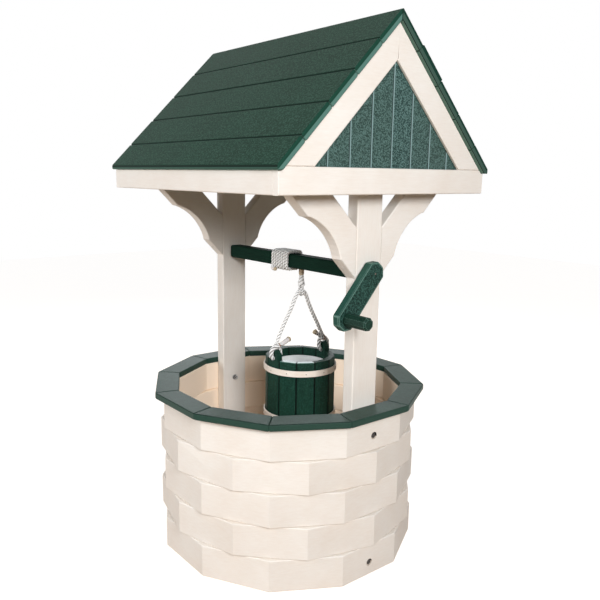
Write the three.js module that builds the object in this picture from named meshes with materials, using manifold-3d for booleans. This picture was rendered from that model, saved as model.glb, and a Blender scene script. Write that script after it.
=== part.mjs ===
import * as THREE from 'three';
import { mergeVertices } from 'three/addons/utils/BufferGeometryUtils.js';
import Module from 'manifold-3d';

// Wishing well planter, in millimetres, +Z up.
// The origin is on the ground, in the middle of the width, and of the length from the roof's
// left end to the tip of the crank handle. X runs along the ridge and the winch bar, with the
// crank at +X. The front eave faces -Y. Places along X below are taken from the well's axis.

const wasm = await Module();
wasm.setup();

// Fits and eased edges
const seatGap = 0.3;
const boltPlay = 0.5;
const overrun = 20;
const boardEase = 2;

// Well wall and rim
const sideCount = 12;
const courseCount = 5;
const courseHeight = 88.9;
const wallApothem = 360.3;
const wallThickness = 41;
const rimOverhang = 23.1;
const rimThickness = 18;

// Posts, tie beams and braces
const postWidth = 86;
const postThickness = 36;
const eaveHeight = 1011.4;
const tieBeamSetback = 4;
const braceRise = 208.9;
const braceWidth = 88.9;
const braceStraight = 72;
const braceStepDepth = 5;
const braceStepRun = 7;
const braceScallopDepth = 21;
const braceArcSteps = 10;

// Bolts that hold the posts to the wall
const lowerBoltHeight = 36;
const upperBoltBelowRim = 49.5;
const boltDiameter = 8;
const boltHeadFlats = 13;
const boltHeadHeight = 5.5;
const boltTail = 5;
const nutHeight = 6.5;
const washerDiameter = 18;
const washerThickness = 1.6;
const counterboreDiameter = 19.5;
const counterboreDepth = 8;

// Roof, fascias and gables
const roofPitch = Math.PI / 4;
const roofHalfSpan = 365;
const eaveNose = 12;
const eaveOverhang = 20.5;
const eaveDrop = 9;
const gableOverhang = 10;
const gablePostGap = 43.56;
const roofBoardCount = 5;
const roofBoardThickness = 19;
const fasciaHeight = 61;
const fasciaThickness = 19;
const rakeWidth = 59.5;
const rakeThickness = 10;
const gablePanelThickness = 19;
const gableGroovePitch = 67.3;
const gableGrooveWidth = 6;
const gableGrooveDepth = 3.5;

// Winch
const winchAboveBraceFoot = 12.5;
const barSide = 38.1;
const barEase = 3;
const barPostGap = 8.5;
const journalDiameter = 19;
const armPostGap = 3.3;
const armThickness = 22;
const armWidth = 58.5;
const armReach = 139;
const armAngle = THREE.MathUtils.degToRad(41);
const armSocketDepth = 15;
const handleFlats = 31;
const handleLength = 74;
const handleTipEase = 4;
const handleTenonDiameter = 16;
const handleTenonLength = 12;

// Rope
const ropeDiameter = 10;
const ropeBarGap = 0.6;
const ropeTurnGap = 0.7;
const ropeDropX = 25;
const windingTurns = 6.5;
const windingSteps = 24;
const windingSides = 6;
const windingCornerRadius = 9;
const windingTail = 12;
const windingLeadShare = 0.15;
const dropWidthShares = { top: 1.05, middle: 1.5, foot: 1.7 };
const dropTaperShare = 0.9;
const dropSides = 10;
const eyeStrandDiameter = 6.5;
const eyePlay = 0.6;
const eyeBelowBar = 71.95;

// Bucket
const staveCount = 12;
const bucketApothem = 99.5;
const staveThickness = 19;
const bucketRimBelowEye = 188;
const bucketHeight = 189;
const staveGrooveHalfWidth = 2.6;
const staveGrooveDepth = 3.2;
const bucketBottomRaise = 10;
const bucketBottomThickness = 15;
const linerWall = 3;
const linerDepthBelowRim = 24;
const hoopHeight = 17.5;
const hoopThickness = 4.6;
const upperHoopSetback = 22.5;
const lowerHoopSetback = 10;
const earHeight = 27;
const earWidth = 36;
const earEase = 12.5;
const earHoleDiameter = 13;
const earHoleBelowTop = 25;
const roundSides = 48;

// Route of the bail rope: distance out from the bucket's axis and depth below the middle of
// the eye, from there to the tail end. Both ends follow it, one to each ear.
const bailRoute = [
  [0, 0], [9.5, 4.5], [18, 15.5], [35, 43], [50, 68], [72, 111.5], [85, 137.5],
  [93.5, 147.5], [100.5, 153], [106, 161], [106.6, 169], [106.2, 177], [104.2, 183.6],
  [98, 186.2], [90, 186.3], [82, 186.2], [75.8, 183.6], [73.8, 177], [73.2, 169],
  [71.5, 161], [68, 153], [61.5, 146.5], [53, 140.5], [44, 135],
];
const bailSides = 8;
const bailStepsPerEnd = 40;

// Colours and finish
const creamBoard = { color: 0xf1e8dd, roughness: 0.55, metalness: 0 };
const greenBoard = { color: 0x2d5243, roughness: 0.5, metalness: 0 };
const darkGreenBoard = { color: 0x1d3a30, roughness: 0.5, metalness: 0 };
const whiteRope = { color: 0xe9e6e0, roughness: 0.85, metalness: 0 };
const zincSteel = { color: 0xa9abad, roughness: 0.35, metalness: 1 };
const greyLiner = { color: 0xc9cbcb, roughness: 0.45, metalness: 0 };
const paleHoop = { color: 0xe3cdb9, roughness: 0.6, metalness: 0 };

// Places that follow from the sizes
const sideHalfAngle = Math.PI / sideCount;
const wallInnerApothem = wallApothem - wallThickness;
const rimApothem = wallApothem + rimOverhang;
const wallTop = courseCount * courseHeight;
const boltHeights = { lower: lowerBoltHeight, upper: wallTop - upperBoltBelowRim };
const postOuterX = (wallInnerApothem - postWidth / 2 * Math.sin(sideHalfAngle))
  / Math.cos(sideHalfAngle) - seatGap;
const postInnerX = postOuterX - postThickness;
const gablePanelX = postOuterX + gablePostGap;
const rakeInnerX = gablePanelX + gablePanelThickness + seatGap;
const gableFaceX = rakeInnerX + rakeThickness;
const gableInnerX = gableFaceX - fasciaThickness;
const roofHalfLength = gableFaceX + gableOverhang;
const sideFaceY = roofHalfSpan - eaveOverhang;
const sideInnerY = sideFaceY - fasciaThickness;
const fasciaTop = eaveHeight + fasciaHeight;
const sideFasciaTop = fasciaTop - eaveDrop;
const gableFoot = fasciaTop + seatGap;
const tieBeamHeight = fasciaHeight - tieBeamSetback;
const braceFootHeight = eaveHeight - braceRise;
const eaveCut = sideFasciaTop + seatGap;
const ridgeHeight = eaveCut + roofHalfSpan * Math.tan(roofPitch);
const roofUnderApex = ridgeHeight - roofBoardThickness / Math.cos(roofPitch);
const gableApex = roofUnderApex - seatGap / Math.cos(roofPitch);
const winchHeight = braceFootHeight + winchAboveBraceFoot;
const barHalf = barSide / 2;
const barEndX = postInnerX - barPostGap;
const armInnerX = postOuterX + armPostGap;
const armOuterX = armInnerX + armThickness;
const handleY = -armReach * Math.sin(armAngle);
const handleZ = winchHeight - armReach * Math.cos(armAngle);
const ropeOffset = barHalf + ropeBarGap + ropeDiameter / 2;
const barUnderside = winchHeight - barHalf;
const eyeHeight = barUnderside - eyeBelowBar;
const bucketRimHeight = eyeHeight - bucketRimBelowEye;
const bucketX = ropeDropX;
const bucketY = ropeOffset;
const bucketInnerApothem = bucketApothem - staveThickness;
const bucketCornerRadius = bucketApothem / Math.cos(Math.PI / staveCount);
const staveEdgeInset = staveGrooveHalfWidth / bucketCornerRadius;
const staveEdgeRadius = bucketApothem / Math.cos(Math.PI / staveCount - staveEdgeInset);
const bucketFoot = bucketRimHeight - bucketHeight;
const bucketFloor = bucketFoot + bucketBottomRaise + bucketBottomThickness;
const earTop = bucketRimHeight + earHeight;
const handleStartX = armOuterX + seatGap;
const handleTipX = handleStartX + handleLength;

const well = new THREE.Group();
well.position.x = (roofHalfLength - handleTipX) / 2;

// Every piece is one named mesh.
function addPiece(name, geometry, look) {
  const mesh = new THREE.Mesh(geometry, new THREE.MeshStandardMaterial(look));
  mesh.name = name;
  well.add(mesh);
  return mesh;
}

// Solids for cutting and joining
function toSolid(geometry) {
  const bare = geometry.clone();
  bare.deleteAttribute('normal');
  bare.deleteAttribute('uv');
  const merged = mergeVertices(bare);
  return new wasm.Manifold(new wasm.Mesh({
    numProp: 3,
    vertProperties: new Float32Array(merged.attributes.position.array),
    triVerts: new Uint32Array(merged.index.array),
  }));
}

function toGeometry(solid) {
  const mesh = solid.getMesh();
  const geometry = new THREE.BufferGeometry();
  geometry.setAttribute('position', new THREE.BufferAttribute(mesh.vertProperties, 3));
  geometry.setIndex(new THREE.BufferAttribute(mesh.triVerts, 1));
  const flat = geometry.toNonIndexed();
  flat.computeVertexNormals();
  return flat;
}

function join(...geometries) {
  return toGeometry(geometries.map(toSolid).reduce((sum, next) => sum.add(next)));
}

function cut(geometry, ...tools) {
  return toGeometry(tools.map(toSolid).reduce((rest, tool) => rest.subtract(tool), toSolid(geometry)));
}

// Outlines and plates
function outline(points) {
  return new THREE.Shape(points.map(([x, y]) => new THREE.Vector2(x, y)));
}

function rectangle(left, bottom, right, top) {
  return outline([[left, bottom], [right, bottom], [right, top], [left, top]]);
}

function polygonPoints(apothem, sides, turn) {
  const radius = apothem / Math.cos(Math.PI / sides);
  return Array.from({ length: sides }, (_, i) => {
    const angle = turn + (2 * i + 1) * Math.PI / sides;
    return [radius * Math.cos(angle), radius * Math.sin(angle)];
  });
}

// A plate from z = 0 up, with its edges eased on both faces
function plate(shape, thickness, ease) {
  return new THREE.ExtrudeGeometry(shape, {
    depth: thickness - 2 * ease,
    bevelEnabled: ease > 0,
    bevelThickness: ease,
    bevelSize: ease,
    bevelOffset: -ease,
    bevelSegments: 1,
  }).translate(0, 0, ease);
}

// Turns a plate drawn in (Y, Z) so that its thickness runs along X from the given place.
function standAcrossX(geometry, fromX) {
  const turn = new THREE.Matrix4().makeBasis(
    new THREE.Vector3(0, 1, 0), new THREE.Vector3(0, 0, 1), new THREE.Vector3(1, 0, 0));
  return geometry.applyMatrix4(turn).translate(fromX, 0, 0);
}

// Turns a plate drawn in (Z, X) so that its thickness runs along Y from the given place.
function standAcrossY(geometry, fromY) {
  const turn = new THREE.Matrix4().makeBasis(
    new THREE.Vector3(0, 0, 1), new THREE.Vector3(1, 0, 0), new THREE.Vector3(0, 1, 0));
  return geometry.applyMatrix4(turn).translate(0, fromY, 0);
}

function rodAlongX(diameter, fromX, toX, y, z, sides = 16) {
  return new THREE.CylinderGeometry(diameter / 2, diameter / 2, toX - fromX, sides)
    .rotateZ(Math.PI / 2)
    .translate((fromX + toX) / 2, y, z);
}

function rodAlongY(diameter, x, fromY, toY, z, sides = 16) {
  return new THREE.CylinderGeometry(diameter / 2, diameter / 2, toY - fromY, sides)
    .translate(x, (fromY + toY) / 2, z);
}

function hexAlongX(flats, fromX, toX, y, z) {
  return rodAlongX(flats / Math.cos(Math.PI / 6), fromX, toX, y, z, 6);
}

// Turned round Z: profile points are [radius, height], drawn up the outside.
function turned(profile, sides, x, y) {
  const points = profile.map(([radius, height]) => new THREE.Vector2(radius, height));
  return new THREE.LatheGeometry(points, sides).rotateX(Math.PI / 2).translate(x, y, 0);
}

// Wall courses: every second one is turned by half a side, so the corners don't line up.
function wallCourse(index) {
  const turn = index % 2 === 0 ? 0 : sideHalfAngle;
  const ring = outline(polygonPoints(wallApothem, sideCount, turn));
  ring.holes.push(outline(polygonPoints(wallInnerApothem, sideCount, turn)));
  const course = plate(ring, courseHeight - seatGap, boardEase)
    .translate(0, 0, index * courseHeight);
  const middle = (index + 1 / 2) * courseHeight;
  const reach = (courseHeight + counterboreDiameter) / 2;
  const holes = Object.values(boltHeights)
    .filter((z) => Math.abs(z - middle) < reach)
    .flatMap((z) => [
      rodAlongX(boltDiameter + 2 * boltPlay, -wallApothem - overrun, wallApothem + overrun, 0, z),
      rodAlongX(counterboreDiameter, wallApothem - counterboreDepth, wallApothem + overrun, 0, z),
      rodAlongX(counterboreDiameter, -wallApothem - overrun, counterboreDepth - wallApothem, 0, z),
    ]);
  return holes.length > 0 ? cut(course, ...holes) : course;
}

for (let i = 0; i < courseCount; i += 1) {
  addPiece(`wall_course_${i + 1}`, wallCourse(i), creamBoard);
}

// Rim: one mitred board a side
function rimBoard(index) {
  const halfAt = (apothem) => apothem * Math.tan(sideHalfAngle) - seatGap / 2;
  const inner = halfAt(wallInnerApothem);
  const outer = halfAt(rimApothem);
  const shape = outline([
    [wallInnerApothem, -inner], [rimApothem, -outer], [rimApothem, outer], [wallInnerApothem, inner],
  ]);
  return plate(shape, rimThickness, boardEase)
    .rotateZ(2 * index * sideHalfAngle)
    .translate(0, 0, wallTop);
}

for (let i = 0; i < sideCount; i += 1) {
  addPiece(`rim_board_${i + 1}`, rimBoard(i), greenBoard);
}

// Posts stand inside the wall, with holes for the bolts and for the winch journals.
function post() {
  const halfWidth = postWidth / 2;
  const blank = standAcrossX(
    plate(rectangle(-halfWidth, 0, halfWidth, eaveHeight - seatGap), postThickness, boardEase),
    postInnerX);
  const holes = Object.values(boltHeights).map((z) => rodAlongX(
    boltDiameter + 2 * boltPlay, postInnerX - overrun, postOuterX + overrun, 0, z));
  const bearing = rodAlongX(
    journalDiameter + 2 * boltPlay, postInnerX - overrun, postOuterX + overrun, 0, winchHeight);
  return cut(blank, ...holes, bearing);
}

addPiece('post_right', post(), creamBoard);
addPiece('post_left', post().rotateZ(Math.PI), creamBoard);

// Tie beams lie on the posts and braces, between the side fascias.
function tieBeam() {
  const halfLength = sideInnerY - seatGap;
  const shape = rectangle(-halfLength, eaveHeight, halfLength, eaveHeight + tieBeamHeight);
  return standAcrossX(plate(shape, postThickness, boardEase), postInnerX);
}

addPiece('tie_beam_right', tieBeam(), creamBoard);
addPiece('tie_beam_left', tieBeam().rotateZ(Math.PI), creamBoard);

// Braces: a board at 45 degrees with a scallop in its outer edge between two small steps
function braceOutline() {
  const footY = postWidth / 2 + seatGap;
  const top = eaveHeight - seatGap;
  const slant = Math.SQRT1_2;
  const edgeLength = (top - braceFootHeight) / slant;
  const onEdge = (along, depth) => [
    footY + (along - depth) * slant,
    braceFootHeight + (along + depth) * slant,
  ];
  const arcStart = braceStraight + braceStepRun;
  const arcChord = edgeLength - 2 * arcStart;
  const arcRise = braceScallopDepth - braceStepDepth;
  const arcRadius = (arcChord ** 2 / 4 + arcRise ** 2) / (2 * arcRise);
  const arc = Array.from({ length: braceArcSteps + 1 }, (_, i) => {
    const along = arcChord * (i / braceArcSteps - 1 / 2);
    const depth = braceScallopDepth - arcRadius + Math.sqrt(arcRadius ** 2 - along ** 2);
    return onEdge(edgeLength / 2 + along, depth);
  });
  const upperRise = braceWidth / slant;
  return [
    onEdge(0, 0),
    onEdge(braceStraight, 0),
    ...arc,
    onEdge(edgeLength - braceStraight, 0),
    onEdge(edgeLength, 0),
    [footY + edgeLength * slant - upperRise, top],
    [footY, braceFootHeight + upperRise],
  ];
}

function brace(side) {
  const points = braceOutline().map(([y, z]) => [side * y, z]);
  return standAcrossX(plate(outline(points), postThickness, boardEase), postInnerX);
}

addPiece('brace_right_back', brace(1), creamBoard);
addPiece('brace_right_front', brace(-1), creamBoard);
addPiece('brace_left_front', brace(1).rotateZ(Math.PI), creamBoard);
addPiece('brace_left_back', brace(-1).rotateZ(Math.PI), creamBoard);

// Bolts: head in the counterbore, washer and nut on the inner face of the post
function wallBolt(z) {
  const seat = wallApothem - counterboreDepth + seatGap;
  const washerFace = postInnerX - seatGap;
  const nutFace = washerFace - washerThickness;
  return join(
    rodAlongX(boltDiameter, nutFace - nutHeight - boltTail, seat + boltHeadHeight / 2, 0, z, 12),
    hexAlongX(boltHeadFlats, seat, seat + boltHeadHeight, 0, z),
    rodAlongX(washerDiameter, nutFace, washerFace, 0, z, 24),
    hexAlongX(boltHeadFlats, nutFace - nutHeight, nutFace + washerThickness / 2, 0, z));
}

for (const [level, z] of Object.entries(boltHeights)) {
  addPiece(`wall_bolt_right_${level}`, wallBolt(z), zincSteel);
  addPiece(`wall_bolt_left_${level}`, wallBolt(z).rotateZ(Math.PI), zincSteel);
}

// Fascias: the gable ones cover the ends of the side ones.
function easedSection(low, high, inner, outer) {
  return outline([
    [low, inner], [high, inner], [high, outer - boardEase], [high - boardEase, outer],
    [low + boardEase, outer], [low, outer - boardEase],
  ]);
}

function sideFascia() {
  const halfLength = gableInnerX - seatGap;
  const section = outline([
    [sideInnerY, eaveHeight], [sideFaceY - boardEase, eaveHeight],
    [sideFaceY, eaveHeight + boardEase], [sideFaceY, sideFasciaTop],
    [sideInnerY, sideFasciaTop],
  ]);
  return standAcrossX(plate(section, 2 * halfLength, 0), -halfLength);
}

function gableFascia() {
  const section = easedSection(eaveHeight, fasciaTop, gableInnerX, gableFaceX);
  const board = standAcrossY(plate(section, 2 * sideFaceY, 0), -sideFaceY);
  const slope = Math.tan(roofPitch);
  const upperEnd = (gableApex - fasciaTop) / slope;
  const lowerEnd = (gableApex - sideFasciaTop) / slope;
  const underRoof = outline([
    [-sideFaceY, eaveHeight], [sideFaceY, eaveHeight], [sideFaceY, sideFasciaTop],
    [lowerEnd, sideFasciaTop], [upperEnd, fasciaTop], [-upperEnd, fasciaTop],
    [-lowerEnd, sideFasciaTop], [-sideFaceY, sideFasciaTop],
  ]);
  const profile = standAcrossX(
    plate(underRoof, fasciaThickness + 2 * overrun, 0), gableInnerX - overrun);
  return toGeometry(toSolid(board).intersect(toSolid(profile)));
}

addPiece('side_fascia_back', sideFascia(), creamBoard);
addPiece('side_fascia_front', sideFascia().rotateZ(Math.PI), creamBoard);
addPiece('gable_fascia_right', gableFascia(), creamBoard);
addPiece('gable_fascia_left', gableFascia().rotateZ(Math.PI), creamBoard);

// Rakes: they stand on the gable fascia, meet at the apex and follow the roof's underside.
function rakeOutline() {
  const slope = Math.tan(roofPitch);
  const innerApex = gableApex - rakeWidth / Math.cos(roofPitch);
  const mitre = seatGap / 2;
  return [
    [mitre, innerApex - mitre * slope], [(innerApex - gableFoot) / slope, gableFoot],
    [(gableApex - gableFoot) / slope, gableFoot], [mitre, gableApex - mitre * slope],
  ];
}

function rake(side) {
  const points = rakeOutline().map(([y, z]) => [side * y, z]);
  return standAcrossX(plate(outline(points), rakeThickness, boardEase), rakeInnerX);
}

addPiece('rake_right_back', rake(1), creamBoard);
addPiece('rake_right_front', rake(-1), creamBoard);
addPiece('rake_left_front', rake(1).rotateZ(Math.PI), creamBoard);
addPiece('rake_left_back', rake(-1).rotateZ(Math.PI), creamBoard);

// Gable panels: upright boards on the gable fascia, with a V-groove at each joint
function gablePanel() {
  const face = rakeInnerX - seatGap;
  const back = gablePanelX;
  const halfWidth = (gableApex - gableFoot) / Math.tan(roofPitch);
  const grooveCount = Math.floor((halfWidth - gableGrooveWidth) / gableGroovePitch);
  const grooves = [];
  for (let i = -grooveCount; i <= grooveCount; i += 1) {
    const y = i * gableGroovePitch;
    grooves.push([face, y - gableGrooveWidth / 2]);
    grooves.push([face - gableGrooveDepth, y]);
    grooves.push([face, y + gableGrooveWidth / 2]);
  }
  const section = outline([
    [back, -halfWidth], [face, -halfWidth], ...grooves, [face, halfWidth], [back, halfWidth],
  ]);
  const boards = plate(section, gableApex - gableFoot, 0).translate(0, 0, gableFoot);
  const triangle = outline([[-halfWidth, gableFoot], [halfWidth, gableFoot], [0, gableApex]]);
  const roofLine = standAcrossX(
    plate(triangle, gablePanelThickness + 2 * overrun, 0), back - overrun);
  return toGeometry(toSolid(boards).intersect(toSolid(roofLine)));
}

addPiece('gable_panel_right', gablePanel(), greenBoard);
addPiece('gable_panel_left', gablePanel().rotateZ(Math.PI), greenBoard);

// Roof boards: the top one is mitred at the ridge, the lowest one is cut upright and then level at the eave.
function roofBoard(index) {
  const pitchCos = Math.cos(roofPitch);
  const pitchSin = Math.sin(roofPitch);
  const onSlope = (along, depth) => [
    along * pitchCos - depth * pitchSin,
    ridgeHeight - along * pitchSin - depth * pitchCos,
  ];
  const slopeLength = roofHalfSpan / pitchCos;
  const from = index * slopeLength / roofBoardCount + seatGap / 2;
  const to = (index + 1) * slopeLength / roofBoardCount - seatGap / 2;
  const ridgeSet = seatGap / 2 / pitchCos;
  const mitre = roofBoardThickness * Math.tan(roofPitch);
  const levelCut = roofBoardThickness / Math.tan(roofPitch);
  const upper = index === 0
    ? [onSlope(ridgeSet + mitre, roofBoardThickness), onSlope(ridgeSet, 0)]
    : [onSlope(from, roofBoardThickness), onSlope(from, boardEase), onSlope(from + boardEase, 0)];
  const lower = index === roofBoardCount - 1
    ? [onSlope(slopeLength - eaveNose / pitchCos, 0), [roofHalfSpan - eaveNose, eaveCut],
      onSlope(slopeLength - levelCut, roofBoardThickness)]
    : [onSlope(to - boardEase, 0), onSlope(to, boardEase), onSlope(to, roofBoardThickness)];
  return standAcrossX(plate(outline([...upper, ...lower]), 2 * roofHalfLength, 0), -roofHalfLength);
}

for (let i = 0; i < roofBoardCount; i += 1) {
  addPiece(`roof_board_back_${i + 1}`, roofBoard(i), greenBoard);
  addPiece(`roof_board_front_${i + 1}`, roofBoard(i).rotateZ(Math.PI), greenBoard);
}

// Winch bar: square between the posts, with round journals through them
function winchBar() {
  const corner = barHalf - barEase;
  const eased = outline([
    [-corner, -barHalf], [corner, -barHalf], [barHalf, -corner], [barHalf, corner],
    [corner, barHalf], [-corner, barHalf], [-barHalf, corner], [-barHalf, -corner],
  ]);
  const bar = standAcrossX(plate(eased, 2 * barEndX, 0), -barEndX).translate(0, 0, winchHeight);
  const journal = rodAlongX(
    journalDiameter, -postOuterX, armInnerX + armSocketDepth - seatGap, 0, winchHeight);
  return join(bar, journal);
}

addPiece('winch_bar', winchBar(), darkGreenBoard);

// Crank arm: a board with half-octagon ends round the journal and round the handle
function crankArm() {
  const end = polygonPoints(armWidth / 2, 8, 0);
  const lowerEnd = [end[6], end[7], end[0], end[1]].map(([x, y]) => [x + armReach, y]);
  const upperEnd = [end[2], end[3], end[4], end[5]];
  const board = plate(outline([...lowerEnd, ...upperEnd]), armThickness, boardEase);
  const along = new THREE.Vector3(0, -Math.sin(armAngle), -Math.cos(armAngle));
  const across = new THREE.Vector3(0, Math.cos(armAngle), -Math.sin(armAngle));
  const turn = new THREE.Matrix4().makeBasis(along, across, new THREE.Vector3(1, 0, 0));
  board.applyMatrix4(turn).translate(armInnerX, 0, winchHeight);
  return cut(
    board,
    rodAlongX(journalDiameter + 2 * seatGap, armInnerX - overrun, armInnerX + armSocketDepth,
      0, winchHeight),
    rodAlongX(handleTenonDiameter + 2 * seatGap, armOuterX - handleTenonLength - seatGap,
      armOuterX + overrun, handleY, handleZ));
}

addPiece('crank_arm', crankArm(), greenBoard);

// Crank handle: an octagonal grip with an eased tip and a round tenon in the arm
function crankHandle() {
  const gripShape = outline(polygonPoints(handleFlats / 2, 8, armAngle));
  const tipShape = outline(polygonPoints(handleFlats / 2, 8, armAngle));
  const tip = standAcrossX(plate(tipShape, 2 * handleTipEase + seatGap, handleTipEase),
    handleTipX - 2 * handleTipEase - seatGap);
  const grip = standAcrossX(plate(gripShape, handleLength - handleTipEase, 0), handleStartX);
  const tenon = rodAlongX(handleTenonDiameter, armOuterX - handleTenonLength,
    handleStartX + handleTenonLength, 0, 0);
  return join(grip, tip, tenon).translate(0, handleY, handleZ);
}

addPiece('crank_handle', crankHandle(), greenBoard);

// Rope winding: one tube that rises behind the bar, goes round it turn by turn along X, and
// ends hanging in front of it. A turn is a square with round corners.
function roundedSquareRadius(angle) {
  const x = Math.abs(Math.cos(angle));
  const y = Math.abs(Math.sin(angle));
  const core = ropeOffset - windingCornerRadius;
  const flat = ropeOffset / Math.max(x, y);
  if (Math.min(x, y) * flat <= core) return flat;
  const reach = core * (x + y);
  return reach + Math.sqrt(reach ** 2 - 2 * core ** 2 + windingCornerRadius ** 2);
}

function windingPath() {
  const pitch = ropeDiameter + ropeTurnGap;
  const path = [];
  const leadLength = barHalf;
  path.push(new THREE.Vector3(ropeDropX, ropeOffset, winchHeight - leadLength));
  path.push(new THREE.Vector3(ropeDropX, ropeOffset, winchHeight - leadLength / 2));
  for (let i = 0; i <= windingTurns * windingSteps; i += 1) {
    const turns = i / windingSteps;
    const angle = 2 * Math.PI * turns;
    const radius = roundedSquareRadius(angle);
    path.push(new THREE.Vector3(
      ropeDropX - windingLeadShare * ropeDiameter - pitch * turns,
      radius * Math.cos(angle),
      winchHeight + radius * Math.sin(angle)));
  }
  const last = path[path.length - 1];
  path.push(new THREE.Vector3(last.x, last.y, last.z - barHalf));
  path.push(new THREE.Vector3(last.x, last.y, last.z - barHalf - windingTail));
  return path;
}

// A closed tube through the points. Each ring faces along the path, and one of its flats
// faces the bar's axis.
function windingTube(path) {
  const positions = [];
  const index = [];
  path.forEach((point, i) => {
    const before = path[Math.max(i - 1, 0)];
    const after = path[Math.min(i + 1, path.length - 1)];
    const ahead = new THREE.Vector3().subVectors(after, before).normalize();
    const side = new THREE.Vector3(1, 0, 0).addScaledVector(ahead, -ahead.x).normalize();
    const outward = new THREE.Vector3().crossVectors(ahead, side);
    for (let k = 0; k < windingSides; k += 1) {
      const angle = 2 * Math.PI * k / windingSides;
      const corner = point.clone()
        .addScaledVector(side, ropeDiameter / 2 * Math.cos(angle))
        .addScaledVector(outward, ropeDiameter / 2 * Math.sin(angle));
      positions.push(corner.x, corner.y, corner.z);
    }
  });
  for (let i = 0; i < path.length - 1; i += 1) {
    for (let k = 0; k < windingSides; k += 1) {
      const a = i * windingSides + k;
      const b = i * windingSides + (k + 1) % windingSides;
      index.push(a, b, a + windingSides, b, b + windingSides, a + windingSides);
    }
  }
  const lastRing = (path.length - 1) * windingSides;
  for (let k = 1; k < windingSides - 1; k += 1) {
    index.push(0, k + 1, k, lastRing, lastRing + k, lastRing + k + 1);
  }
  const tube = new THREE.BufferGeometry();
  tube.setAttribute('position', new THREE.Float32BufferAttribute(positions, 3));
  tube.setIndex(index);
  tube.computeVertexNormals();
  return tube;
}

// Least gap between turns, measured between ring points half a turn or more apart
function leastTurnGap(tube) {
  const points = tube.attributes.position;
  const apart = windingSteps / 2 * windingSides;
  const a = new THREE.Vector3();
  const b = new THREE.Vector3();
  let least = Infinity;
  for (let i = 0; i < points.count; i += 1) {
    a.fromBufferAttribute(points, i);
    for (let j = i + apart; j < points.count; j += 1) {
      least = Math.min(least, a.distanceTo(b.fromBufferAttribute(points, j)));
    }
  }
  return least;
}

const winding = windingTube(windingPath());
console.log(`rope winding: least gap to itself ${leastTurnGap(winding).toFixed(2)} mm`);
addPiece('rope_winding', winding, whiteRope);

// Rope drop: thickened by the splice below the bar, and the eye that the bail runs through
const eyeInnerRadius = ropeDiameter / 2 + eyePlay;
const eyeTop = eyeHeight + eyeInnerRadius + eyeStrandDiameter;

function ropeDrop() {
  const top = barUnderside - seatGap;
  const foot = eyeTop + seatGap;
  const taper = dropTaperShare * ropeDiameter;
  const topRadius = dropWidthShares.top * ropeDiameter / 2;
  const middleRadius = dropWidthShares.middle * ropeDiameter / 2;
  const footRadius = dropWidthShares.foot * ropeDiameter / 2;
  return turned([
    [0, foot], [topRadius, foot], [footRadius, foot + taper],
    [middleRadius, (foot + top) / 2], [middleRadius, top - 2 * taper],
    [topRadius, top - taper], [topRadius, top], [0, top],
  ], dropSides, bucketX, bucketY);
}

function ropeEye() {
  const strandRadius = eyeStrandDiameter / 2;
  return new THREE.TorusGeometry(eyeInnerRadius + strandRadius, strandRadius, 8, 20)
    .rotateX(Math.PI / 2)
    .translate(bucketX, bucketY, eyeHeight);
}

addPiece('rope_drop', ropeDrop(), whiteRope);
addPiece('rope_eye', ropeEye(), whiteRope);

// Bail rope: from one tail through one ear, up through the eye, and down to the other ear
function bailRope() {
  const place = (out, below) => new THREE.Vector3(bucketX, bucketY + out, eyeHeight - below);
  const frontEnd = bailRoute.slice(1).reverse().map(([out, below]) => place(-out, below));
  const backEnd = bailRoute.map(([out, below]) => place(out, below));
  const path = new THREE.CatmullRomCurve3([...frontEnd, ...backEnd], false, 'centripetal');
  const section = outline(polygonPoints(ropeDiameter / 2, bailSides, 0));
  return new THREE.ExtrudeGeometry(section, {
    steps: 2 * bailStepsPerEnd,
    bevelEnabled: false,
    extrudePath: path,
  });
}

addPiece('bail_rope', bailRope(), whiteRope);

// Bucket: a ring of staves with a V-groove at each joint, a housed bottom and two tall ears
function staveRing() {
  const half = Math.PI / staveCount;
  const points = [];
  for (let i = 0; i < staveCount; i += 1) {
    const corner = (2 * i + 1) * half;
    for (const [radius, angle] of [
      [staveEdgeRadius, corner - staveEdgeInset],
      [bucketCornerRadius - staveGrooveDepth, corner],
      [staveEdgeRadius, corner + staveEdgeInset],
    ]) {
      points.push([radius * Math.cos(angle), radius * Math.sin(angle)]);
    }
  }
  const ring = outline(points);
  ring.holes.push(outline(polygonPoints(bucketInnerApothem, staveCount, 0)));
  return plate(ring, bucketHeight, 0).translate(0, 0, bucketFoot);
}

function bucketBottom() {
  const housing = staveThickness / 4;
  const disc = outline(polygonPoints(bucketInnerApothem + housing, staveCount, 0));
  return plate(disc, bucketBottomThickness, 0).translate(0, 0, bucketFoot + bucketBottomRaise);
}

function ear(side) {
  const halfWidth = earWidth / 2;
  const shape = outline([
    [bucketRimHeight - earEase, -halfWidth], [earTop - earEase, -halfWidth],
    [earTop, earEase - halfWidth], [earTop, halfWidth - earEase],
    [earTop - earEase, halfWidth], [bucketRimHeight - earEase, halfWidth],
  ]);
  const innerY = side > 0 ? bucketInnerApothem : -bucketApothem;
  return standAcrossY(plate(shape, staveThickness, 0), innerY);
}

function bucketBody() {
  const holes = rodAlongY(
    earHoleDiameter, 0, -bucketApothem - overrun, bucketApothem + overrun, earTop - earHoleBelowTop);
  return cut(join(staveRing(), bucketBottom(), ear(1), ear(-1)), holes)
    .translate(bucketX, bucketY, 0);
}

addPiece('bucket_body', bucketBody(), darkGreenBoard);

// Hoops: bands round the stave corners
function hoop(foot) {
  const inner = staveEdgeRadius + seatGap;
  const outer = inner + hoopThickness;
  return turned([
    [inner, foot], [outer, foot], [outer, foot + hoopHeight], [inner, foot + hoopHeight],
    [inner, foot],
  ], roundSides, bucketX, bucketY);
}

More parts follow.
